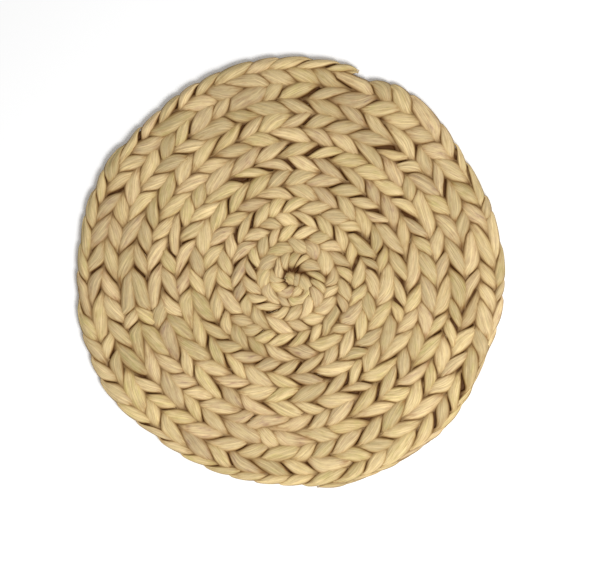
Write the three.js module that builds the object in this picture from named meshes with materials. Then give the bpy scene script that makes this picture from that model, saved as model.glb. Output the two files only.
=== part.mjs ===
// Round place mat, coiled flat from one long plait of dried, flattened plant stalks.
//
// The plait is two rows wide. In each row the stalks pass over the top one after another, and the
// two rows lean opposite ways, so that their passes meet in pairs along the middle of the plait.
// It starts narrow at the eye and winds outward clockwise, seen from above, each round lying
// against the one before. Its last round is partly turned under, so the rim is uneven and the eye
// sits a little off the middle of the outline. The mat lies on z = 0 and its origin is the middle
// of its outline, on the underside. Sizes are in millimetres, angles in degrees counter-clockwise
// from +X.

import * as THREE from 'three';

// --- driving dimensions ---------------------------------------------------------------------

const PLAIT_THICKNESS = 9.5;      // over the crests of the stalks
const EYE_THICKNESS = 7.5;        // where the plait starts, thin and tight
const ROUNDS = 8.4;               // turns from the start at the eye to the end at the rim
const END_ANGLE = 72;             // where the last round ends
const START_WIDTH = 5.1;          // plait width at the very start
const ROUND_PITCH = 22.4;         // plait width near the eye
const ROUND_GROWTH = 0.32;        // how the plait widens, per turn squared
const ROUND_GAP = 0.6;            // daylight between neighbouring rounds
const EYE_HOLE = 0.8;             // radius about which the start of the plait curls
const FLAT_SIDE_ANGLE = 128;      // where the rounds run a little flatter than a spiral
const FLAT_SIDE_SPREAD = 20;      // degrees either way over which they do
const FLAT_SIDE_SHARE = 0.022;    // how far they draw in there, as a share of the radius

const LOBE_AT_EYE = 10;           // length of plait from one pass to the next, at the eye
const LOBE_AT_RIM = 23.5;         // the same in the outer rounds
const LOBE_FULL_RADIUS = 115;     // radius from which the outer rounds' length holds
const STEPS_PER_LOBE = 2;         // sections for each pass
const LARGEST_STEP = 18;          // degrees between sections, at most, round the eye

const HOLLOW_WIDTH = 0.96;        // half width of the plait between two passes, as a share
const HOLLOW_HEIGHT = 0.74;       // its height there, as a share of that over a crest

// How wide the last round shows from above, by degrees back from its end.
const LAST_ROUND = [
  { back: 0, width: 9.5 },
  { back: 50, width: 11.5 },
  { back: 60, width: 10 },
  { back: 78, width: 12 },
  { back: 100, width: 9.5 },
  { back: 138, width: 13.5 },
  { back: 160, width: 8.5 },
  { back: 190, width: 8.5 },
  { back: 215, width: 13 },
  { back: 250, width: 18 },
  { back: 265, width: 16 },
  { back: 288, width: 22.5 },
  { back: 318, width: 23 },
  { back: 348, width: 33 },
  { back: 360, width: 26.7 },
];

// Section of the plait, going round counter-clockwise as seen from its start. `across` runs from
// -1 at the inner edge to 1 at the outer edge, `up` from 0 at the underside to 1 at the crests,
// and `swells` marks the points that come out where a pass is at its fullest.
const SECTION = [
  { across: -0.68, up: 0.0, swells: false },
  { across: 0.68, up: 0.0, swells: false },
  { across: 1.0, up: 0.42, swells: true },
  { across: 0.86, up: 0.84, swells: true },
  { across: 0.5, up: 1.0, swells: true },
  { across: 0.0, up: 0.8, swells: false },
  { across: -0.5, up: 1.0, swells: true },
  { across: -0.86, up: 0.84, swells: true },
  { across: -1.0, up: 0.42, swells: true },
];

const STALK = new THREE.MeshStandardMaterial({
  name: 'stalk',
  color: 0xc0a578,
  roughness: 0.75,
  metalness: 0,
});

// --- the coil, seen from above ----------------------------------------------------------------

const lerp = THREE.MathUtils.lerp;
const smoothstep = THREE.MathUtils.smoothstep;

// Angle about the eye after `turn` turns.
function angleAt(turn) {
  return END_ANGLE + 360 * (ROUNDS - turn);
}

// Share of its radius that a groove keeps at the flatter side of the mat.
function flatSide(turn) {
  const around = (angleAt(turn) - FLAT_SIDE_ANGLE) / FLAT_SIDE_SPREAD;
  const lap = 360 / FLAT_SIDE_SPREAD;
  const nearest = around - lap * Math.round(around / lap);
  return 1 - FLAT_SIDE_SHARE * Math.exp(-nearest * nearest);
}

// Radius of the groove that lies outside the plait after `turn` turns.
function grooveRadius(turn) {
  if (turn < 0) return START_WIDTH * (1 + turn);
  return (START_WIDTH + ROUND_PITCH * turn + ROUND_GROWTH * turn * turn) * flatSide(turn);
}

// Width of the last round, blended smoothly between the rows of its table.
function lastRoundWidth(back) {
  const next = LAST_ROUND.findIndex((row) => row.back >= back);
  const high = LAST_ROUND[Math.max(next, 1)];
  const low = LAST_ROUND[Math.max(next, 1) - 1];
  return lerp(low.width, high.width, smoothstep(back, low.back, high.back));
}

function innerRadius(turn) {
  return Math.max(grooveRadius(turn - 1), EYE_HOLE) + ROUND_GAP / 2;
}

function outerRadius(turn) {
  const back = 360 * (ROUNDS - turn);
  if (back >= 360) return grooveRadius(turn) - ROUND_GAP / 2;
  return grooveRadius(turn - 1) + lastRoundWidth(Math.max(back, 0));
}

// Length of plait from one pass to the next, shorter towards the eye.
function lobeLength(radius) {
  return lerp(LOBE_AT_EYE, LOBE_AT_RIM, smoothstep(radius, 0, LOBE_FULL_RADIUS));
}

// --- the plait --------------------------------------------------------------------------------

// Where the sections go, from the eye to the rim, with the passes made by each.
function plaitStations() {
  const stations = [];
  let turn = 0;
  let lobes = 0;
  while (turn < ROUNDS) {
    stations.push({ turn, lobes });
    const radius = (innerRadius(turn) + outerRadius(turn)) / 2;
    const length = lobeLength(radius) / STEPS_PER_LOBE;
    const stride = Math.min(length / (2 * Math.PI * radius), LARGEST_STEP / 360);
    lobes += (stride * 2 * Math.PI * radius) / lobeLength(radius);
    turn += stride;
  }
  stations.push({ turn: ROUNDS, lobes });
  return stations;
}

// Swell of the two rows of stalks, 1 where a pass is fullest and 0 midway to the next.
function swell(lobes) {
  return 0.5 + 0.5 * Math.cos(2 * Math.PI * lobes);
}

// The points of one section, in place.
function sectionPoints({ turn, lobes }) {
  const angle = THREE.MathUtils.degToRad(angleAt(turn));
  const middle = (innerRadius(turn) + outerRadius(turn)) / 2;
  const halfWidth = (outerRadius(turn) - innerRadius(turn)) / 2;
  const thickness = lerp(EYE_THICKNESS, PLAIT_THICKNESS, smoothstep(turn, 0, 1.5));
  return SECTION.map(({ across, up, swells }) => {
    const full = swells ? swell(lobes) : 1;
    const radius = middle + across * halfWidth * lerp(HOLLOW_WIDTH, 1, full);
    const height = up * thickness * (up > 0.5 ? lerp(HOLLOW_HEIGHT, 1, full) : 1);
    return [radius * Math.cos(angle), radius * Math.sin(angle), height];
  });
}

// One closed body through all the sections, with a flat end at the eye and at the rim.
function plaitGeometry() {
  const rings = plaitStations().map(sectionPoints);
  const sides = SECTION.length;
  const indices = [];
  for (let ring = 0; ring + 1 < rings.length; ring += 1) {
    for (let side = 0; side < sides; side += 1) {
      const a = ring * sides + side;
      const b = ring * sides + ((side + 1) % sides);
      indices.push(a, b, a + sides, b, b + sides, a + sides);
    }
  }
  const contour = SECTION.map(({ across, up }) => new THREE.Vector2(across, up));
  const last = (rings.length - 1) * sides;
  for (const [a, b, c] of THREE.ShapeUtils.triangulateShape(contour, [])) {
    indices.push(a, c, b);
    indices.push(last + a, last + b, last + c);
  }
  const geometry = new THREE.BufferGeometry();
  geometry.setAttribute('position', new THREE.Float32BufferAttribute(rings.flat(2), 3));
  geometry.setIndex(indices);
  return geometry;
}

// Puts the origin under the middle of the outline, on the surface the mat lies on.
function centreOnOutline(geometry) {
  geometry.computeBoundingBox();
  const centre = geometry.boundingBox.getCenter(new THREE.Vector3());
  geometry.translate(-centre.x, -centre.y, 0);
  geometry.computeVertexNormals();
  return geometry;
}

const plait = new THREE.Mesh(centreOnOutline(plaitGeometry()), STALK);
plait.name = 'coiled_plait';

const group = new THREE.Group();
group.add(plait);

export default group;
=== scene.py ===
"""Round place mat, coiled flat from one long plait of dried, flattened plant stalks.

The plait is two cords wide and each cord is laid up from three stalks. Each stalk is one closed
mesh that follows its own path from the eye to the rim: over the top of its cord for half of the
way along and back below for the other half. Loose fibres stand off the stalks here and there.
Sizes are in metres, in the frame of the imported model, and angles are in degrees
counter-clockwise from +X.
"""

import math

import bpy
import numpy as np
from bpy.props import (
    FloatProperty,
    FloatVectorProperty,
    IntProperty,
    PointerProperty,
)
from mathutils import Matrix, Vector


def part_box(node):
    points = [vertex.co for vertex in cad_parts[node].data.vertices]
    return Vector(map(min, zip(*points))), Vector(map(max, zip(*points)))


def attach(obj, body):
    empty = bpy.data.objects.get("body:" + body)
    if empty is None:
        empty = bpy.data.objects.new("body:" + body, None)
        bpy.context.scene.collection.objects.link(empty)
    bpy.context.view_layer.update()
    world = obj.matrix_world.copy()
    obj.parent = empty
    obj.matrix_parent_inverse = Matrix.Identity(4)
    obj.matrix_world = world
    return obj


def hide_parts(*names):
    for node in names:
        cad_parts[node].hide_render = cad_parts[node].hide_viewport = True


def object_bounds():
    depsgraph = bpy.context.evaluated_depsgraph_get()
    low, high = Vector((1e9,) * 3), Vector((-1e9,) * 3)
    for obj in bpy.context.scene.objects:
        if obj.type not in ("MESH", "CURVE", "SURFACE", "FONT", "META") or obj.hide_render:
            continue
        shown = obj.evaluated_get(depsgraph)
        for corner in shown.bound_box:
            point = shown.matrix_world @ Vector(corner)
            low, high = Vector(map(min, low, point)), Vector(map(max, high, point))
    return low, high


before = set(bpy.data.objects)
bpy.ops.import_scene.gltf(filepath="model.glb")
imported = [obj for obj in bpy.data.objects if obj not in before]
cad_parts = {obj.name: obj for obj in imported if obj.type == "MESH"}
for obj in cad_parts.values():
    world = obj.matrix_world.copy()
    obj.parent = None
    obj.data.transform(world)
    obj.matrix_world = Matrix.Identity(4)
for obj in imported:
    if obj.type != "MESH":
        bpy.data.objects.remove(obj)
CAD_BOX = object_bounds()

bl_info = {
    "name": "Plaited Place Mat",
    "version": (1, 0, 0),
    "blender": (4, 5, 0),
    "location": "View3D > Sidebar > Place Mat",
    "description": "Builds a round place mat, coiled from a plait of dried plant stalks",
    "category": "Add Mesh",
}

MAT_NODE = "coiled_plait"
BODY = "root"
STALKS_PER_CORD = 3

# How wide the last round of the plait shows from above: degrees back from its end, width.
LAST_ROUND = (
    (0, 0.0095),
    (50, 0.0115),
    (60, 0.0100),
    (78, 0.0120),
    (100, 0.0095),
    (138, 0.0135),
    (160, 0.0085),
    (190, 0.0085),
    (215, 0.0130),
    (250, 0.0180),
    (265, 0.0160),
    (288, 0.0225),
    (318, 0.0230),
    (348, 0.0330),
    (360, 0.0267),
)

# The outer cord ends this many degrees short of the inner one: its end is turned under.
OUTER_CORD_SHORT = 205.0

# The plait starts with a short straight bit that bends round into the first round. Its middle
# line is a curve from the first of these places, as seen from the eye, which sets out toward the
# second and comes into the first round from the third.
EYE_PATH = ((-0.0070, 0.0005), (0.0160, -0.0010), (0.0190, -0.0130))

# How far from the eye that bit reaches, turns made and radius: the next round lies against it.
EYE_ROUND = (
    (-0.18, 0.0068),
    (0.10, 0.0088),
    (0.35, 0.0116),
    (0.50, 0.0146),
    (0.60, 0.0176),
    (0.75, 0.0221),
)

# Between these radii the passes grow from tight at the very start to the plait's own length.
EYE_TIGHT_FROM, EYE_TIGHT_TO = 0.006, 0.015

# The inner cord starts so many turns after the outer one, with this share of the plait's width.
# From so many turns after the plait's start it grows to half of that width.
INNER_CORD_LATE = 0.2
INNER_CORD_START_SHARE = 0.1
INNER_CORD_GROWS = 0.15

# Between these turns the small passes of the eye give way to the full ones.
EYE_PASSES_FROM, EYE_PASSES_TO = 0.4, 2.4

# At the eye the passes below reach further out than those on top, by this much, so that no
# opening is left there. Between these turns that gives way to the setting for the other rounds.
EYE_TUCK = 1.5
EYE_TUCK_FROM, EYE_TUCK_TO = 1.3, 2.0

# Turns made by the time the plait has its full height.
FULL_HEIGHT_FROM = 1.5

# Half a cord's width is at least this, and half its height is at most this share of that half
# width and a little more, so that a cord that is squeezed stays round.
SLIMMEST_CORD = 0.0012
SLIM_HEIGHT_SHARE, SLIM_HEIGHT_MORE = 0.9, 0.0004

# Over so many passes from either end a stalk grows to its full section, from this share of it.
# At the very end it keeps about this share of its way to the side, and lies about this high,
# over half the cord's height.
END_PASSES, END_SIZE = 0.6, 0.04
END_SIDE, END_UP = 0.2, 0.1

# How far single passes differ from the mean, as standard deviations, at an unevenness of 1.
SLIP_SPREAD = 0.14
BEND_SPREAD = 0.09
SHIFT_SPREAD = 0.08
RISE_SPREAD = 0.08
WIDTH_SPREAD = 0.13
THICKNESS_SPREAD = 0.06

# How much of a pass's way it takes to change over to the next one's size and tone.
PASS_CHANGE = 0.3

# A pass crosses its cord nearly straight: 0 is a plain wave and 1 is straight.
CROSSING_STRAIGHTNESS = 0.93

# The mat's rim. Between these turns back from its end the plait comes to lie bare. What lies
# within the first width of its edge or past it is then drawn in, softly, so that it reaches at
# most the second width further out, and less by the last share where it is below.
RIM_FROM, RIM_TO = 1.025, 0.985
RIM_WIDTH = 0.0050
RIM_SOFTNESS = 0.0070
RIM_BELOW = 0.45

# A cord whose half width is under the first isn't drawn in, and one over the second fully is.
DRAWN_FROM, DRAWN_TO = 0.0015, 0.0045

# From this far inside the edge a stalk lies more and more in the open, and at the edge the
# shade painted into it is this much weaker.
BARE_WIDTH = 0.0055
BARE_LIGHT = 0.85

# Stalks are flattened by the surface that the mat lies on from this height down.
FLAT_UNDER = 0.0008

# A cord gets lower toward its sides, up to this far out, over half its width.
SIDE_LIMIT = 1.35

# Each stalk's grain starts this far along from that of the one before, so that none are alike.
GRAIN_SHIFT = 20.0

# A loose fibre's shape: the shortest length and the lowest lift, as shares of the settings, how
# far most stray aside, over their length, and how much thinner the tip is than the root.
FIBRE_RINGS, FIBRE_SIDES = 7, 5
SHORTEST_FIBRE, LOWEST_FIBRE = 0.35, 0.2
FIBRE_ASIDE = 0.35
FIBRE_TAPER = 0.75

# Fibres leave a stalk where it is at least this high in its cord, at one of two places round
# it, and not in its first and last rings.
FIBRE_FROM_HEIGHT = 0.3
FIBRE_PLACES = (0.08, 0.42)
FIBRE_FREE_RINGS = 40

# The camera stands this far off the mat's middle, along x and y.
CAMERA_ASIDE = (0.0080, -0.0084)


# --- settings ---------------------------------------------------------------------------------


def srgb(red, green, blue):
    """A colour as it shows, 0 to 255, as linear values."""
    values = np.array([red, green, blue], float) / 255.0
    linear = np.where(values <= 0.04045, values / 12.92, ((values + 0.055) / 1.055) ** 2.4)
    return tuple(float(v) for v in linear)


def colour_property(name, description, red, green, blue):
    """A colour setting whose default is given as it shows, 0 to 255."""
    return FloatVectorProperty(
        name=name, description=description, default=srgb(red, green, blue),
        size=3, min=0.0, max=1.0, subtype="COLOR",
    )


class CoilSettings(bpy.types.PropertyGroup):
    """How the plait winds from the eye to the rim."""

    rounds: FloatProperty(
        name="Rounds", description="Turns from the eye to the end at the rim", default=8.4
    )
    end_angle: FloatProperty(
        name="End Angle", description="Where the last round ends, in degrees", default=72.0
    )
    start_radius: FloatProperty(
        name="Start Radius", description="Where the spiral of the grooves sets out, from the eye",
        default=0.0051, unit="LENGTH",
    )
    pitch: FloatProperty(
        name="Round Pitch", description="Plait width near the eye",
        default=0.0224, unit="LENGTH",
    )
    growth: FloatProperty(
        name="Growth", description="How the plait widens, per turn squared",
        default=0.00032, unit="LENGTH",
    )
    gap: FloatProperty(
        name="Gap", description="Daylight between neighbouring rounds",
        default=0.0006, unit="LENGTH",
    )
    eye_start: FloatProperty(
        name="Eye Start", description="Turns at which the plait starts", default=0.22
    )
    eye_join: FloatProperty(
        name="Eye Join", description="Turns from which it follows the round course",
        default=0.82,
    )
    eye_width: FloatProperty(
        name="Eye Width", description="Plait width at its very start",
        default=0.0095, unit="LENGTH",
    )
    flat_angle: FloatProperty(
        name="Flat Side", description="Where the rounds run a little flatter, in degrees",
        default=128.0,
    )
    flat_spread: FloatProperty(
        name="Flat Spread", description="Degrees either way over which they do", default=20.0
    )
    flat_share: FloatProperty(
        name="Flat Share", description="How far they draw in there, as a share of the radius",
        default=0.022, subtype="FACTOR",
    )
    lobe_at_eye: FloatProperty(
        name="Pass at Eye", description="Length of plait from one pass to the next at the eye",
        default=0.0106, unit="LENGTH",
    )
    eye_tightness: FloatProperty(
        name="Eye Tightness", description="The same at the very start, over that",
        default=0.70, min=0.3, max=1.5,
    )
    lobe_at_rim: FloatProperty(
        name="Pass at Rim", description="The same in the outer rounds",
        default=0.0235, unit="LENGTH",
    )
    lobe_full_radius: FloatProperty(
        name="Full Pass Radius", description="Radius from which that length holds",
        default=0.115, unit="LENGTH",
    )


class StalkSettings(bpy.types.PropertyGroup):
    """The flattened stalks that are laid up in threes into the two cords."""

    seed: IntProperty(name="Seed", description="Which stalks were picked", default=7)
    height: FloatProperty(
        name="Height", description="Over the crests of a cord in the outer rounds",
        default=0.0095, unit="LENGTH",
    )
    eye_height: FloatProperty(
        name="Eye Height", description="The same where the cords start",
        default=0.0075, unit="LENGTH",
    )
    flat_width: FloatProperty(
        name="Flat Width", description="Of a stalk pressed flat, before it is laid up",
        default=0.0150, unit="LENGTH",
    )
    width: FloatProperty(
        name="Width", description="A stalk's width in the middle of a pass, over the cord's",
        default=1.46, min=0.4, max=2.0,
    )
    thickness: FloatProperty(
        name="Thickness", description="A stalk's thickness there, over the cord's height",
        default=0.66, min=0.2, max=0.8,
    )
    pinch: FloatProperty(
        name="Pinch", description="Its width where it turns under, over that in the middle",
        default=0.26, min=0.1, max=1.0,
    )
    reach: FloatProperty(
        name="Reach", description="How far a pass reaches to either side, over half the cord",
        default=1.12, min=0.5, max=1.6,
    )
    eye_reach: FloatProperty(
        name="Eye Reach", description="Reach of the small passes at the eye, over the others'",
        default=0.60, min=0.3, max=1.2,
    )
    eye_broad: FloatProperty(
        name="Eye Broadness", description="Width of the small passes at the eye, likewise",
        default=1.25, min=0.3, max=2.0,
    )
    tuck: FloatProperty(
        name="Tuck", description="Reach of the passes below, over that of those on top",
        default=0.72, min=0.3, max=1.2,
    )
    dive: FloatProperty(
        name="Dive", description="How abruptly a stalk turns under at the ends of a pass",
        default=1.25, min=0.5, max=6.0,
    )
    roundness: FloatProperty(
        name="Roundness", description="How much lower a cord is at its sides, as a share",
        default=0.24, min=0.0, max=0.9,
    )
    fullness: FloatProperty(
        name="Fullness", description="Low for passes that taper evenly to both ends",
        default=0.80, min=0.2, max=3.0,
    )
    rim_roundness: FloatProperty(
        name="Rim Roundness", description="How much lower the mat is at its rim, as a share",
        default=0.35, min=0.0, max=0.9,
    )
    furrow: FloatProperty(
        name="Furrow", description="Depth of the furrows along a stalk",
        default=0.00032, unit="LENGTH",
    )
    unevenness: FloatProperty(
        name="Unevenness", description="How much one pass of a stalk differs from the next",
        default=1.35, min=0.0, max=3.0,
    )


class FibreSettings(bpy.types.PropertyGroup):
    """Fibres that have split off the stalks."""

    seed: IntProperty(name="Seed", description="Where they stand off", default=3)
    count: IntProperty(name="Fibres", description="How many stand off", default=90, min=1)
    length: FloatProperty(
        name="Length", description="Length of the longest", default=0.009, unit="LENGTH"
    )
    thickness: FloatProperty(
        name="Thickness", description="Through a fibre at its root",
        default=0.0004, unit="LENGTH",
    )
    lift: FloatProperty(
        name="Lift", description="How far the tips stand off, over the length",
        default=0.22, min=0.0, max=1.0,
    )


class ColourSettings(bpy.types.PropertyGroup):
    """Colours of the stalks, as they show in white light, and of the shade painted on them."""

    green: colour_property("Greenish Stalk", "The greenest of the stalks", 210, 191, 128)
    straw: colour_property("Straw", "Most of the stalks", 225, 200, 145)
    pale: colour_property("Pale Stalk", "The palest of the stalks", 230, 204, 153)
    tan: colour_property("Tan Stalk", "Stalks that dried a little darker", 219, 190, 145)
    brown: colour_property("Brown Stalk", "The few brownish stalks", 188, 155, 126)
    rust: colour_property("Rust", "Stains, mostly where a stalk folds under", 156, 108, 60)
    # Edges, Sides and Creases are painted shade: along both edges of every stalk, where it turns
    # down, where it goes down into a crease, and darkest deep between the stalks.
    edge: colour_property("Edges", "Along both edges of every stalk", 112, 76, 34)
    side: colour_property("Sides", "Where a stalk goes down into a crease", 160, 115, 52)
    crease: colour_property("Creases", "Deep between the stalks", 78, 42, 2)
    fibre: colour_property("Fibres", "The loose fibres", 212, 190, 145)


class StageSettings(bpy.types.PropertyGroup):
    """Floor, light and camera."""

    floor_size: FloatProperty(
        name="Floor Size", description="Side of the floor", default=12.0, unit="LENGTH"
    )
    key_strength: FloatProperty(
        name="Key Light", description="Share of the light that comes from the key lamp",
        default=0.60, subtype="FACTOR",
    )
    key_azimuth: FloatProperty(
        name="Key Azimuth", description="The side the key lamp is on, in degrees",
        default=-50.0,
    )
    key_elevation: FloatProperty(
        name="Key Elevation", description="How high the key lamp stands, in degrees",
        default=55.0, min=5.0, max=90.0,
    )
    key_distance: FloatProperty(
        name="Key Distance", description="From the mat to the key lamp",
        default=1.7, unit="LENGTH",
    )
    key_size: FloatProperty(
        name="Key Size", description="Across the key lamp", default=0.75, unit="LENGTH"
    )
    frame_width: FloatProperty(
        name="Frame Width", description="How much of the floor the camera takes in",
        default=0.530, unit="LENGTH",
    )
    camera_height: FloatProperty(
        name="Camera Height", description="Height of the camera over the floor",
        default=1.5, unit="LENGTH",
    )


class PlaceMatSettings(bpy.types.PropertyGroup):
    """All the settings of the place mat."""

    coil: PointerProperty(type=CoilSettings)
    stalk: PointerProperty(type=StalkSettings)
    fibres: PointerProperty(type=FibreSettings)
    colours: PointerProperty(type=ColourSettings)
    stage: PointerProperty(type=StageSettings)


# --- the coil, seen from above ----------------------------------------------------------------


def smoothstep(value, low, high):
    """0 up to low, 1 from high on, and a smooth rise between."""
    share = np.clip((value - low) / (high - low), 0.0, 1.0)
    return share * share * (3.0 - 2.0 * share)


def mix(a, b, share):
    """From a, at a share of 0, to b, at a share of 1."""
    return a + (b - a) * share


def blend_rows(rows, place):
    """The value at a place, blended smoothly between the rows of a table."""
    places = np.array([row[0] for row in rows], float)
    values = np.array([row[1] for row in rows], float)
    high = np.clip(np.searchsorted(places, place), 1, len(places) - 1)
    share = smoothstep(place, places[high - 1], places[high])
    return mix(values[high - 1], values[high], share)


class Coil:
    """Where the plait runs, as functions of the turns that the spiral of its grooves has made.

    The plait itself starts a little further on than that spiral. Places across it are distances
    from its middle line, positive away from the eye.
    """

    TABLE_STEPS = 20000
    LAP_STEPS = 1440

    def __init__(self, settings):
        self.settings = settings
        self.turns = np.linspace(settings.eye_start, settings.rounds, self.TABLE_STEPS + 1)
        path = self.middle_line(self.turns)[0]
        stride = np.linalg.norm(np.diff(path, axis=0), axis=1)
        radius = np.linalg.norm(path[1:] + path[:-1], axis=1) / 2.0
        lobes = np.cumsum(stride / self.lobe_length(radius))
        self.lobes = np.concatenate(([0.0], lobes))
        self.eye = self.eye_place()

    def angle(self, turn):
        """The way from the eye, in radians."""
        return np.radians(self.settings.end_angle + 360.0 * (self.settings.rounds - turn))

    def flat_side(self, turn):
        """Share of its radius that a groove keeps where the rounds run flatter."""
        settings = self.settings
        lap = 360.0 / settings.flat_spread
        around = (np.degrees(self.angle(turn)) - settings.flat_angle) / settings.flat_spread
        nearest = around - lap * np.round(around / lap)
        return 1.0 - settings.flat_share * np.exp(-nearest * nearest)

    def groove(self, turn):
        """Radius of the groove that lies outside the plait."""
        settings = self.settings
        wound = settings.start_radius + settings.pitch * turn + settings.growth * turn * turn
        eye = blend_rows(EYE_ROUND, turn)
        return np.where(turn < EYE_ROUND[-1][0], eye, wound * self.flat_side(turn))

    def inner(self, turn):
        """Radius of the plait's inner edge."""
        return self.groove(turn - 1.0) + self.settings.gap / 2.0

    def outer(self, turn):
        """Radius of the plait's outer edge."""
        back = 360.0 * (self.settings.rounds - turn)
        last = blend_rows(LAST_ROUND, np.clip(back, 0.0, 360.0))
        squeezed = self.groove(turn - 1.0) + last
        return np.where(back >= 360.0, self.groove(turn) - self.settings.gap / 2.0, squeezed)

    def middle_line(self, turn):
        """Points of the plait's middle line, from the eye, and the ways outward from them."""
        turn = np.atleast_1d(turn)
        angle = self.angle(turn)
        outward = np.stack([np.cos(angle), np.sin(angle)], axis=1)
        middle = (self.inner(turn) + self.outer(turn)) / 2.0
        points = middle[:, None] * outward
        join, start = self.settings.eye_join, self.settings.eye_start
        corner = self.angle(join)
        end = np.array([math.cos(corner), math.sin(corner)])
        end = end * float(self.inner(join) + self.outer(join)) / 2.0
        first, second, third = (np.array(point) for point in EYE_PATH)
        u = np.clip((turn - start) / (join - start), 0.0, 1.0)[:, None]
        v = 1.0 - u
        bent = v ** 3 * first + 3 * v * v * u * second + 3 * v * u * u * third + u ** 3 * end
        way = v * v * (second - first) + 2 * v * u * (third - second) + u * u * (end - third)
        way = way / np.linalg.norm(way, axis=1, keepdims=True)
        early = (turn < join)[:, None]
        points = np.where(early, bent, points)
        outward = np.where(early, np.stack([-way[:, 1], way[:, 0]], axis=1), outward)
        return points, outward

    def half_width(self, turn):
        """Half the plait's width, as it shows."""
        start, join = self.settings.eye_start, self.settings.eye_join
        full = (self.outer(turn) - self.inner(turn)) / 2.0
        at_join = float(self.outer(join) - self.inner(join)) / 2.0
        early = mix(self.settings.eye_width / 2.0, at_join, smoothstep(turn, start, join))
        return np.where(turn < join, early, full)

    def seam(self, turn):
        """Where the inner and the outer cord meet."""
        start, join = self.settings.eye_start, self.settings.eye_join
        half = self.half_width(turn)
        full = (self.groove(turn) - self.groove(turn - 1.0)) / 2.0
        shown = np.where(turn < join, half, np.maximum(half, full))
        late = smoothstep(turn, start + INNER_CORD_GROWS, join)
        share = mix(INNER_CORD_START_SHARE, 0.5, late)
        return -half + 2.0 * shown * share

    def lobe_length(self, radius):
        """Length of plait from one pass to the next."""
        share = smoothstep(radius, 0.0, self.settings.lobe_full_radius)
        loosened = smoothstep(radius, EYE_TIGHT_FROM, EYE_TIGHT_TO)
        tight = mix(self.settings.eye_tightness, 1.0, loosened)
        return mix(self.settings.lobe_at_eye, self.settings.lobe_at_rim, share) * tight

    @property
    def outer_end(self):
        """Where the outer cord ends, short of the inner one."""
        return self.settings.rounds - OUTER_CORD_SHORT / 360.0

    def turn_at(self, lobes):
        """The turns made after so many passes."""
        return np.interp(lobes, self.lobes, self.turns)

    def lobes_at(self, turn):
        """The passes made after so many turns."""
        return float(np.interp(turn, self.turns, self.lobes))

    def eye_place(self):
        """The eye, in the frame: the outline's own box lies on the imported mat's box."""
        lap = np.linspace(self.settings.rounds - 1.0, self.settings.rounds, self.LAP_STEPS + 1)
        x = self.outer(lap) * np.cos(self.angle(lap))
        y = self.outer(lap) * np.sin(self.angle(lap))
        low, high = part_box(MAT_NODE)
        middle = (low + high) / 2.0
        return np.array([
            middle.x - (x.min() + x.max()) / 2.0,
            middle.y - (y.min() + y.max()) / 2.0,
            low.z,
        ])


# --- the stalks -------------------------------------------------------------------------------


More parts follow.
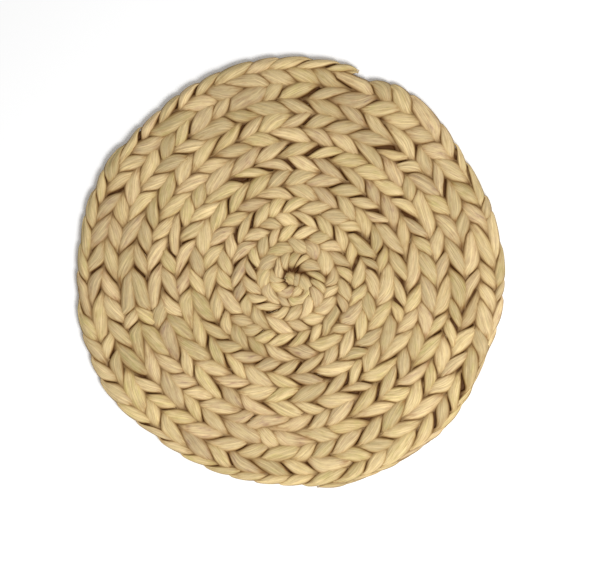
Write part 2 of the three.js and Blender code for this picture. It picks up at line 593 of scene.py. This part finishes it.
class Stalk:
    """One stalk's surface, ring by ring, from the eye to the rim.

    Three stalks are laid up into a cord. In turn each goes over the top, half of the way along,
    and back below, the other half. In the outer cord the stalks go over from its outer edge to
    its inner edge and in the inner cord the other way about, so that the passes of the two
    cords meet in pairs along the seam between them.
    """

    RINGS_PER_LOBE = 12
    SIDES = 28

    def __init__(self, coil, settings, outer_cord, index):
        self.coil, self.settings = coil, settings
        self.outer_cord, self.index = outer_cord, index
        self.rng = np.random.default_rng(settings.seed + 10 * index + 100 * outer_cord)
        first = coil.lobes_at(coil.settings.eye_start + (0.0 if outer_cord else INNER_CORD_LATE))
        last = coil.lobes_at(coil.outer_end if outer_cord else coil.settings.rounds)
        self.lobes = np.linspace(first, last, int((last - first) * self.RINGS_PER_LOBE))
        self.turn = coil.turn_at(self.lobes)
        self.draw_passes()
        self.lay_cord()
        self.lay_path()

    def draw_passes(self):
        """How far along its passes the stalk is: whole at the start of each one over the top."""
        rng = np.random.default_rng(self.settings.seed + 1000 + self.outer_cord)
        knots = np.arange(int(self.lobes[-1]) + 3)
        slip = rng.normal(0.0, SLIP_SPREAD, len(knots)) * self.settings.unevenness
        laid = self.lobes + np.interp(self.lobes, knots, slip)
        self.passes = (laid + self.index) / STALKS_PER_CORD
        self.count = int(self.passes[-1]) + 4

    def per_pass(self, values):
        """A pass's own value, which changes to the next pass's where the stalk lies below.

        A pass is on top for the first half of its way, so the change ends three quarters on.
        """
        at = self.passes + 0.25
        low = np.floor(at).astype(int)
        share = smoothstep(at - low, 1.0 - PASS_CHANGE, 1.0)
        low = np.clip(low, 0, len(values) - 2)
        if values.ndim == 2:
            share = share[:, None]
        return mix(values[low], values[low + 1], share)

    def draw(self, spread):
        """A random value for every pass, about 0."""
        values = self.rng.normal(0.0, spread, self.count)
        values = np.clip(values, -2.0 * spread, 2.0 * spread)
        return self.per_pass(values) * self.settings.unevenness

    def lay_cord(self):
        """The cord that the stalk is in: where it runs, and how wide and high it is."""
        coil, settings = self.coil, self.settings
        seam, half = coil.seam(self.turn), coil.half_width(self.turn)
        low = seam if self.outer_cord else -half
        high = half if self.outer_cord else np.minimum(seam, half)
        self.axis = (low + high) / 2.0
        self.half_cord = np.maximum((high - low) / 2.0, SLIMMEST_CORD) + coil.settings.gap / 2.0
        grown = smoothstep(self.turn, 0.0, FULL_HEIGHT_FROM)
        height = mix(settings.eye_height, settings.height, grown)
        self.line, self.outward = coil.middle_line(self.turn)
        slim = SLIM_HEIGHT_SHARE * self.half_cord + SLIM_HEIGHT_MORE
        self.half_height = np.minimum(height / 2.0, slim)
        self.lift = height / 2.0
        ends = smoothstep(self.lobes - self.lobes[0], 0.0, END_PASSES)
        ends = ends * smoothstep(self.lobes[-1] - self.lobes, 0.0, END_PASSES)
        self.ends = np.maximum(ends, END_SIZE)

    def lay_path(self):
        """The stalk's middle line and its size, over half the cord's width and height."""
        settings = self.settings
        swing = 2.0 * math.pi * self.passes
        crossing = np.arcsin(CROSSING_STRAIGHTNESS * np.cos(swing))
        crossing = crossing / math.asin(CROSSING_STRAIGHTNESS)
        self.over = np.tanh(settings.dive * np.sin(swing)) / math.tanh(settings.dive)
        side = 1.0 if self.outer_cord else -1.0
        small = smoothstep(self.turn, EYE_PASSES_FROM, EYE_PASSES_TO)
        closed = smoothstep(self.turn, EYE_TUCK_FROM, EYE_TUCK_TO)
        tuck = mix(EYE_TUCK, settings.tuck, closed)
        reach = settings.reach * mix(1.0, tuck, smoothstep(-self.over, -0.6, 0.6))
        reach = reach * mix(settings.eye_reach, 1.0, small)
        bend = self.draw(BEND_SPREAD) * np.cos(2.0 * swing)
        self.side = side * (reach * crossing + bend) + self.draw(SHIFT_SPREAD)
        rise = 1.0 - settings.thickness
        self.up = self.over * rise * (1.0 + self.draw(RISE_SPREAD))
        middle = np.abs(np.sin(swing)) ** settings.fullness
        broad = settings.width * (1.0 + self.draw(WIDTH_SPREAD))
        broad = broad * mix(settings.eye_broad, 1.0, small)
        self.half_width = broad * mix(settings.pinch, 1.0, middle)
        thick = 1.0 + self.draw(THICKNESS_SPREAD)
        self.half_thick = settings.thickness * mix(1.0, thick, middle)

    def rings(self):
        """Points of every section, rings by points by three, and their places.

        Those are across the stalk, and the share of shade painted there, which grows the deeper
        inside the cord a point lies: 0 at its top and underside.
        """
        settings = self.settings
        around = np.linspace(0.0, 2.0 * math.pi, self.SIDES, endpoint=False)
        across = np.cos(around)
        bulge = np.sin(around)
        furrows = self.per_pass(self.rng.random((self.count, 4)))
        depth = np.zeros((len(self.passes), self.SIDES))
        for harmonic in range(2, 6):
            wave = math.pi * (harmonic * across[None, :] + 2.0 * furrows[:, harmonic - 2][:, None])
            depth = depth + settings.furrow * np.cos(wave) / math.sqrt(harmonic)
        shrink = self.ends[:, None] ** 0.5
        middle_side = self.side[:, None] * mix(END_SIDE, 1.0, self.ends[:, None])
        middle_up = mix(END_UP, self.up[:, None], self.ends[:, None])
        side = middle_side + shrink * self.half_width[:, None] * across[None, :]
        up = middle_up + shrink * self.half_thick[:, None] * bulge[None, :]
        outward = np.clip(np.abs(side), 0.0, SIDE_LIMIT)
        up = up * (1.0 - settings.roundness * outward ** 2)
        place, bare = self.round_rim(self.axis[:, None] + side * self.half_cord[:, None])
        # Painted shade: the deeper inside the cord, the darker a point is painted, less so where
        # it lies bare at the rim and near the stalk's ends.
        crease_shade = np.clip(1.0 - np.abs(up), 0.0, 1.0) * (1.0 - BARE_LIGHT * bare)
        crease_shade = crease_shade * self.ends[:, None]
        up = up * (1.0 - settings.rim_roundness * bare)
        z = self.lift[:, None] + up * self.half_height[:, None] + depth * bulge[None, :]
        z = np.where(z < FLAT_UNDER, FLAT_UNDER * np.exp((z - FLAT_UNDER) / FLAT_UNDER), z)
        flat = self.line[:, None, :] + place[:, :, None] * self.outward[:, None, :]
        points = np.concatenate([flat, z[:, :, None]], axis=2) + self.coil.eye
        return points, across, crease_shade

    def round_rim(self, place):
        """Places across the plait, drawn in near the rim, and how much each is at the rim."""
        rim = self.coil.half_width(self.turn)[:, None]
        rounds = self.coil.settings.rounds
        last = smoothstep(self.turn, rounds - RIM_FROM, rounds - RIM_TO)
        share = (last * smoothstep(self.half_cord, DRAWN_FROM, DRAWN_TO))[:, None]
        below = smoothstep(-self.over, -0.3, 0.7)[:, None]
        past = np.maximum(place - rim + RIM_WIDTH, 0.0)
        drawn = RIM_SOFTNESS * (1.0 - np.exp(-past / RIM_SOFTNESS)) * (1.0 - RIM_BELOW * below)
        place = place + share * (drawn - past)
        bare = last[:, None] * smoothstep(place, rim - BARE_WIDTH, rim)
        return place, bare

    def length(self):
        """How far along its own middle line each section is."""
        place = self.axis + self.half_cord * self.side
        flat = self.line + place[:, None] * self.outward
        z = self.lift + self.half_height * self.up
        path = np.concatenate([flat, z[:, None]], axis=1)
        steps = np.linalg.norm(np.diff(path, axis=0), axis=1)
        return np.concatenate(([0.0], np.cumsum(steps)))


def tube_mesh(name, tubes):
    """A closed mesh over each tube's rings, which go round counter-clockwise seen from its end."""
    quads, caps, used = [], [], 0
    for points in tubes:
        rings, sides = points.shape[:2]
        first = used + np.arange(rings - 1)[:, None] * sides
        here = np.arange(sides)[None, :]
        after = (here + 1) % sides
        quads.append(np.stack(
            [first + here, first + after, first + sides + after, first + sides + here], axis=2
        ).reshape(-1, 4))
        caps.append(used + np.arange(sides)[::-1])
        used += rings * sides
        caps.append(used - sides + np.arange(sides))
    quads = np.concatenate(quads)
    cap_ends = np.cumsum([len(cap) for cap in caps])
    loops = np.concatenate([quads.reshape(-1), *caps])
    starts = np.concatenate([
        np.arange(len(quads)) * 4, quads.size + np.concatenate([[0], cap_ends[:-1]])
    ])
    mesh = bpy.data.meshes.new(name)
    mesh.vertices.add(used)
    mesh.vertices.foreach_set("co", np.concatenate([tube.reshape(-1) for tube in tubes]))
    mesh.loops.add(len(loops))
    mesh.loops.foreach_set("vertex_index", loops)
    mesh.polygons.add(len(starts))
    mesh.polygons.foreach_set("loop_start", starts)
    mesh.update(calc_edges=True)
    mesh.validate()
    mesh.polygons.foreach_set("use_smooth", [True] * len(mesh.polygons))
    return mesh


def set_float(mesh, name, values):
    """Store a value for every point of a mesh."""
    layer = mesh.attributes.new(name, "FLOAT", "POINT")
    layer.data.foreach_set("value", np.ascontiguousarray(values, np.float32).reshape(-1))


def set_vector(mesh, name, values):
    """Store a vector for every point of a mesh."""
    layer = mesh.attributes.new(name, "FLOAT_VECTOR", "POINT")
    layer.data.foreach_set("vector", np.ascontiguousarray(values, np.float32).reshape(-1))


def add_piece(name, mesh, material):
    """Put a mesh into the scene as a piece of the mat."""
    piece = bpy.data.objects.new(name, mesh)
    piece.data.materials.append(material)
    bpy.context.scene.collection.objects.link(piece)
    return piece


def build_stalk(coil, settings, outer_cord, index, material):
    """One stalk from the eye to the rim, with what its material needs to know at each point."""
    stalk = Stalk(coil, settings, outer_cord, index)
    points, across, crease_shade = stalk.rings()
    name = f"{'outer' if outer_cord else 'inner'}_cord_stalk_{index + 1}"
    mesh = tube_mesh(name, [points])
    count = len(across)
    along = stalk.length()
    half = stalk.half_width * stalk.half_cord
    start = GRAIN_SHIFT * (index + STALKS_PER_CORD * outer_cord)
    grain = np.stack([
        np.repeat((along + start)[:, None], count, axis=1),
        half[:, None] * across[None, :],
        np.zeros((len(along), count)),
    ], axis=2)
    set_vector(mesh, "grain", grain)
    tones = stalk.rng.random((2, stalk.count))
    set_float(mesh, "tone", np.repeat(stalk.per_pass(tones[0]), count))
    set_float(mesh, "hue", np.repeat(stalk.per_pass(tones[1]), count))
    set_float(mesh, "fold", np.repeat(1.0 - np.abs(stalk.over), count))
    # Where the material paints shade: deep inside the cord, and along both edges of the stalk.
    set_float(mesh, "crease_shade", crease_shade)
    set_float(mesh, "edge", np.tile(np.abs(across), len(along)))
    piece = add_piece(name, mesh, material)
    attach(piece, BODY)
    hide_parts(MAT_NODE)
    return piece


# --- loose fibres -----------------------------------------------------------------------------


def unit(vector):
    """The vector at a length of 1."""
    return vector / np.linalg.norm(vector)


def fibre_tube(root, along, off, settings, rng):
    """One fibre that leaves a stalk at its root, along the stalk and a little off it."""
    length = settings.length * rng.uniform(SHORTEST_FIBRE, 1.0)
    lift = settings.lift * rng.uniform(LOWEST_FIBRE, 1.0)
    aside = unit(np.cross(along, off)) * rng.normal(0.0, FIBRE_ASIDE)
    share = np.linspace(0.0, 1.0, FIBRE_RINGS)[:, None]
    line = root + length * (share * along + share ** 2 * (lift * off + aside))
    line[:, 2] = np.maximum(line[:, 2], CAD_BOX[0].z + settings.thickness)
    around = np.linspace(0.0, 2.0 * math.pi, FIBRE_SIDES, endpoint=False)[None, :, None]
    right = unit(np.cross(along, off))
    upward = np.cross(right, along)
    radius = settings.thickness / 2.0 * (1.0 - FIBRE_TAPER * share)[:, :, None]
    return line[:, None, :] + radius * (np.cos(around) * right + np.sin(around) * upward)


def build_fibres(coil, stalk_settings, settings, material):
    """Fibres at the upper edges of stalks picked at random, all in one mesh."""
    rng = np.random.default_rng(settings.seed)
    stalks = [
        Stalk(coil, stalk_settings, outer_cord, index)
        for outer_cord in (False, True)
        for index in range(STALKS_PER_CORD)
    ]
    surfaces = [stalk.rings()[0] for stalk in stalks]
    upper_edges = [round(Stalk.SIDES * place) for place in FIBRE_PLACES]
    tubes = []
    while len(tubes) < settings.count:
        pick = int(rng.integers(len(stalks)))
        ring = int(rng.integers(FIBRE_FREE_RINGS, len(surfaces[pick]) - FIBRE_FREE_RINGS))
        if stalks[pick].over[ring] < FIBRE_FROM_HEIGHT:
            continue
        side = upper_edges[int(rng.integers(2))]
        around = surfaces[pick][ring]
        root = around[side]
        along = unit(surfaces[pick][ring + 1, side] - surfaces[pick][ring - 1, side])
        off = unit(root - around.mean(axis=0))
        off = unit(off - along * np.dot(off, along))
        tubes.append(fibre_tube(root, along * rng.choice((-1.0, 1.0)), off, settings, rng))
    piece = add_piece("loose_fibres", tube_mesh("loose_fibres", tubes), material)
    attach(piece, BODY)
    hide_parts(MAT_NODE)
    return piece


# --- materials --------------------------------------------------------------------------------

# Grain of a stalk, in features per metre: along it, across it and through it.
STREAKS = (22.0, 600.0, 600.0)
FINE_GRAIN = (60.0, 1300.0, 1300.0)
MOTTLE = (90.0, 240.0, 240.0)
STAINS = (70.0, 230.0, 230.0)

# Lightness of the darkest and the lightest passes, over the colour itself.
DARKEST_PASS, LIGHTEST_PASS = 0.83, 1.19

# What the floor's white is multiplied by to the camera: near the mat, and far from the lamp.
FLOOR_NEAR, FLOOR_FAR = 1.2, 2.8


class Nodes:
    """Short calls to lay out a material's nodes."""

    def __init__(self, name):
        self.material = bpy.data.materials.new(name)
        self.material.use_nodes = True
        self.tree = self.material.node_tree
        self.tree.nodes.clear()

    def add(self, kind, inputs=None, **settings):
        node = self.tree.nodes.new(kind)
        for key, value in settings.items():
            setattr(node, key, value)
        for key, value in (inputs or {}).items():
            if isinstance(value, bpy.types.NodeSocket):
                self.tree.links.new(value, node.inputs[key])
            else:
                node.inputs[key].default_value = value
        return node

    def attribute(self, name, output="Fac"):
        return self.add("ShaderNodeAttribute", attribute_name=name).outputs[output]

    def math(self, operation, a, b=0.0, clamp=False):
        node = self.add(
            "ShaderNodeMath", {0: a, 1: b}, operation=operation, use_clamp=clamp
        )
        return node.outputs[0]

    def spread(self, value, low, high, to_low=0.0, to_high=1.0):
        node = self.add(
            "ShaderNodeMapRange",
            {"Value": value, "From Min": low, "From Max": high,
             "To Min": to_low, "To Max": to_high},
        )
        return node.outputs[0]

    def noise(self, vector, scale, detail=2.0, roughness=0.5):
        node = self.add(
            "ShaderNodeTexNoise",
            {"Vector": vector, "Scale": scale, "Detail": detail, "Roughness": roughness},
        )
        return node.outputs["Fac"]

    def stretched(self, vector, scale):
        node = self.add("ShaderNodeMapping", {"Vector": vector, "Scale": scale})
        return node.outputs["Vector"]

    def mix_colour(self, share, a, b, blend="MIX"):
        node = self.add("ShaderNodeMix", data_type="RGBA", blend_type=blend)
        for index, value in ((0, share), (6, a), (7, b)):
            if isinstance(value, bpy.types.NodeSocket):
                self.tree.links.new(value, node.inputs[index])
            else:
                node.inputs[index].default_value = value
        return node.outputs[2]

    def grey(self, value):
        node = self.add("ShaderNodeCombineColor", {0: value, 1: value, 2: value})
        return node.outputs[0]

    def ramp(self, value, stops):
        node = self.add("ShaderNodeValToRGB", {"Fac": value})
        ramp = node.color_ramp
        while len(ramp.elements) < len(stops):
            ramp.elements.new(0.5)
        for element, (place, colour) in zip(ramp.elements, stops):
            element.position = place
            element.color = (*colour, 1.0)
        return node.outputs["Color"]

    def finish(self, surface):
        self.add("ShaderNodeOutputMaterial", {"Surface": surface})
        return self.material


def stalk_material(colours):
    """Dried stalk: lengthwise grain, a tone for every pass, stains, and painted shade at edges and
    creases.
    """
    n = Nodes("dried_stalk")
    grain = n.attribute("grain", "Vector")
    tone = n.attribute("tone")
    hue = n.attribute("hue")
    fold = n.attribute("fold")
    crease_shade = n.attribute("crease_shade")
    edge = n.attribute("edge")
    streaks = n.noise(n.stretched(grain, STREAKS), 1.0, 3.0, 0.6)
    fine = n.noise(n.stretched(grain, FINE_GRAIN), 1.0, 2.0, 0.6)
    mottle = n.noise(n.stretched(grain, MOTTLE), 1.0, 2.0, 0.5)
    patches = n.noise(n.stretched(grain, STAINS), 1.3, 3.0, 0.6)

    own = n.math("MULTIPLY", hue, 0.55)
    shade = n.math("ADD", own, n.spread(mottle, 0.3, 0.7, 0.0, 0.45))
    base = n.ramp(shade, (
        (0.00, colours.green),
        (0.30, colours.straw),
        (0.60, colours.pale),
        (0.85, colours.tan),
        (1.00, colours.brown),
    ))

    light = n.spread(tone, 0.0, 1.0, DARKEST_PASS, LIGHTEST_PASS)
    light = n.math("MULTIPLY", light, n.spread(streaks, 0.36, 0.64, 0.84, 1.13))
    hairline = n.math("ABSOLUTE", n.math("SUBTRACT", streaks, 0.5))
    light = n.math("MULTIPLY", light, n.spread(hairline, 0.0, 0.025, 0.86, 1.0))
    light = n.math("MULTIPLY", light, n.spread(fine, 0.36, 0.64, 0.86, 1.09))
    base = n.mix_colour(1.0, base, n.grey(light), "MULTIPLY")

    stained = n.spread(fold, 0.0, 1.0, 0.25, 1.0)
    stained = n.math("MULTIPLY", n.spread(patches, 0.48, 0.68), stained)
    base = n.mix_colour(stained, base, (*colours.rust, 1.0))
    # Painted shade: darker along both edges of the stalk, where it turns down, then darker the
    # deeper inside the cord, where the stalks lie in each other's shade.
    base = n.mix_colour(n.spread(edge, 0.62, 1.0, 0.0, 0.90), base, (*colours.edge, 1.0))
    base = n.mix_colour(n.spread(crease_shade, 0.10, 0.42, 0.0, 0.55), base, (*colours.side, 1.0))
    base = n.mix_colour(n.spread(crease_shade, 0.30, 0.60, 0.0, 0.97), base, (*colours.crease, 1.0))

    bump = n.math("ADD", n.math("MULTIPLY", streaks, 0.7), n.math("MULTIPLY", fine, 0.3))
    normal = n.add(
        "ShaderNodeBump", {"Strength": 0.6, "Distance": 0.0006, "Height": bump}
    ).outputs["Normal"]
    shader = n.add("ShaderNodeBsdfPrincipled", {
        "Base Color": base,
        "Roughness": n.spread(fine, 0.3, 0.7, 0.55, 0.72),
        "Normal": normal,
        "Specular IOR Level": 0.20,
    })
    return n.finish(shader.outputs[0])


def fibre_material(colours):
    """Plain pale fibre."""
    n = Nodes("fibre")
    shader = n.add("ShaderNodeBsdfPrincipled", {
        "Base Color": (*colours.fibre, 1.0),
        "Roughness": 0.6,
        "Specular IOR Level": 0.2,
    })
    return n.finish(shader.outputs[0])


def floor_material():
    """White paper that stays white to the camera where the key lamp's light falls off."""
    n = Nodes("white_floor")
    path = n.add("ShaderNodeLightPath")
    seen = n.math("MAXIMUM", path.outputs["Is Camera Ray"], path.outputs["Is Glossy Ray"])
    seen = n.math("MAXIMUM", seen, path.outputs["Is Transmission Ray"])
    place = n.add("ShaderNodeTexCoord").outputs["Object"]
    away = n.add("ShaderNodeVectorMath", {0: place}, operation="LENGTH").outputs["Value"]
    shown = n.grey(n.spread(away, 0.4, 2.0, FLOOR_NEAR, FLOOR_FAR))
    white = n.mix_colour(seen, (0.8, 0.8, 0.8, 1.0), shown)
    paper = n.add("ShaderNodeBsdfDiffuse", {"Color": white}).outputs[0]
    return n.finish(paper)


# --- stage ------------------------------------------------------------------------------------


def add_floor(size):
    """The surface that the mat lies on."""
    low = CAD_BOX[0].z
    mesh = bpy.data.meshes.new("floor")
    half = size / 2.0
    corners = [(-half, -half, low), (half, -half, low), (half, half, low), (-half, half, low)]
    mesh.from_pydata(corners, [], [(0, 1, 2, 3)])
    floor = bpy.data.objects.new("floor", mesh)
    floor.data.materials.append(floor_material())
    bpy.context.scene.collection.objects.link(floor)


def add_key(settings):
    """A lamp on one side of the mat, which gives white paper its share of white."""
    low, high = CAD_BOX
    a, e = math.radians(settings.key_azimuth), math.radians(settings.key_elevation)
    toward = Vector((math.cos(a) * math.cos(e), math.sin(a) * math.cos(e), math.sin(e)))
    lamp = bpy.data.lights.new("key", "AREA")
    lamp.shape = "DISK"
    lamp.size = settings.key_size
    lamp.energy = (
        math.pi ** 2 * settings.key_distance ** 2 * settings.key_strength / math.sin(e)
    )
    key = bpy.data.objects.new("key", lamp)
    key.location = (low + high) / 2.0 + settings.key_distance * toward
    key.rotation_euler = toward.to_track_quat("Z", "Y").to_euler()
    bpy.context.scene.collection.objects.link(key)


def add_world(strength):
    """Even light from all round, white where the camera sees past the floor."""
    world = bpy.data.worlds.new("studio")
    world.use_nodes = True
    tree = world.node_tree
    tree.nodes.clear()
    path = tree.nodes.new("ShaderNodeLightPath")
    light = tree.nodes.new("ShaderNodeBackground")
    light.inputs["Strength"].default_value = strength
    white = tree.nodes.new("ShaderNodeBackground")
    mixed = tree.nodes.new("ShaderNodeMixShader")
    output = tree.nodes.new("ShaderNodeOutputWorld")
    tree.links.new(path.outputs["Is Camera Ray"], mixed.inputs[0])
    tree.links.new(light.outputs[0], mixed.inputs[1])
    tree.links.new(white.outputs[0], mixed.inputs[2])
    white.inputs["Color"].default_value = (1.0, 1.0, 1.0, 1.0)
    light.inputs["Color"].default_value = (1.0, 1.0, 1.0, 1.0)
    tree.links.new(mixed.outputs[0], output.inputs["Surface"])
    bpy.context.scene.world = world


def add_camera(settings):
    """A camera straight above the mat, a little off its middle."""
    low, high = CAD_BOX
    middle = (low + high) / 2.0
    data = bpy.data.cameras.new("overhead")
    data.sensor_width = 36.0
    data.lens = data.sensor_width * settings.camera_height / settings.frame_width
    data.clip_end = 50.0
    camera = bpy.data.objects.new("overhead", data)
    x, y = CAMERA_ASIDE
    camera.location = (middle.x + x, middle.y + y, settings.camera_height + high.z)
    bpy.context.scene.collection.objects.link(camera)
    bpy.context.scene.camera = camera


# --- operators --------------------------------------------------------------------------------


class PLACEMAT_OT_stalks(bpy.types.Operator):
    """Lay the stalks up into two cords and coil them into the mat"""

    bl_idname = "placemat.stalks"
    bl_label = "Plaited Stalks"

    def execute(self, context):
        settings = context.scene.place_mat
        coil = Coil(settings.coil)
        material = stalk_material(settings.colours)
        for outer_cord in (False, True):
            for index in range(STALKS_PER_CORD):
                build_stalk(coil, settings.stalk, outer_cord, index, material)
        return {"FINISHED"}


class PLACEMAT_OT_fibres(bpy.types.Operator):
    """Add fibres that have split off the stalks"""

    bl_idname = "placemat.fibres"
    bl_label = "Loose Fibres"

    def execute(self, context):
        settings = context.scene.place_mat
        build_fibres(
            Coil(settings.coil), settings.stalk, settings.fibres,
            fibre_material(settings.colours),
        )
        return {"FINISHED"}


class PLACEMAT_OT_stage(bpy.types.Operator):
    """Lay out the floor, the light and the camera"""

    bl_idname = "placemat.stage"
    bl_label = "Floor, Light and Camera"

    def execute(self, context):
        settings = context.scene.place_mat.stage
        add_floor(settings.floor_size)
        add_world(1.0 - settings.key_strength)
        add_key(settings)
        add_camera(settings)
        context.scene.view_settings.view_transform = "Standard"
        return {"FINISHED"}


class PLACEMAT_PT_panel(bpy.types.Panel):
    """The place mat's operators, in the sidebar"""

    bl_idname = "PLACEMAT_PT_panel"
    bl_label = "Place Mat"
    bl_space_type = "VIEW_3D"
    bl_region_type = "UI"
    bl_category = "Place Mat"

    def draw(self, context):
        for operator in OPERATORS:
            self.layout.operator(operator.bl_idname)


OPERATORS = (PLACEMAT_OT_stalks, PLACEMAT_OT_fibres, PLACEMAT_OT_stage)
CLASSES = (
    CoilSettings,
    StalkSettings,
    FibreSettings,
    ColourSettings,
    StageSettings,
    PlaceMatSettings,
    *OPERATORS,
    PLACEMAT_PT_panel,
)


def register():
    for cls in CLASSES:
        bpy.utils.register_class(cls)
    bpy.types.Scene.place_mat = PointerProperty(type=PlaceMatSettings)


def unregister():
    del bpy.types.Scene.place_mat
    for cls in reversed(CLASSES):
        bpy.utils.unregister_class(cls)


def main():
    register()
    bpy.ops.placemat.stalks()
    bpy.ops.placemat.fibres()
    bpy.ops.placemat.stage()


if __name__ == "__main__":
    main()
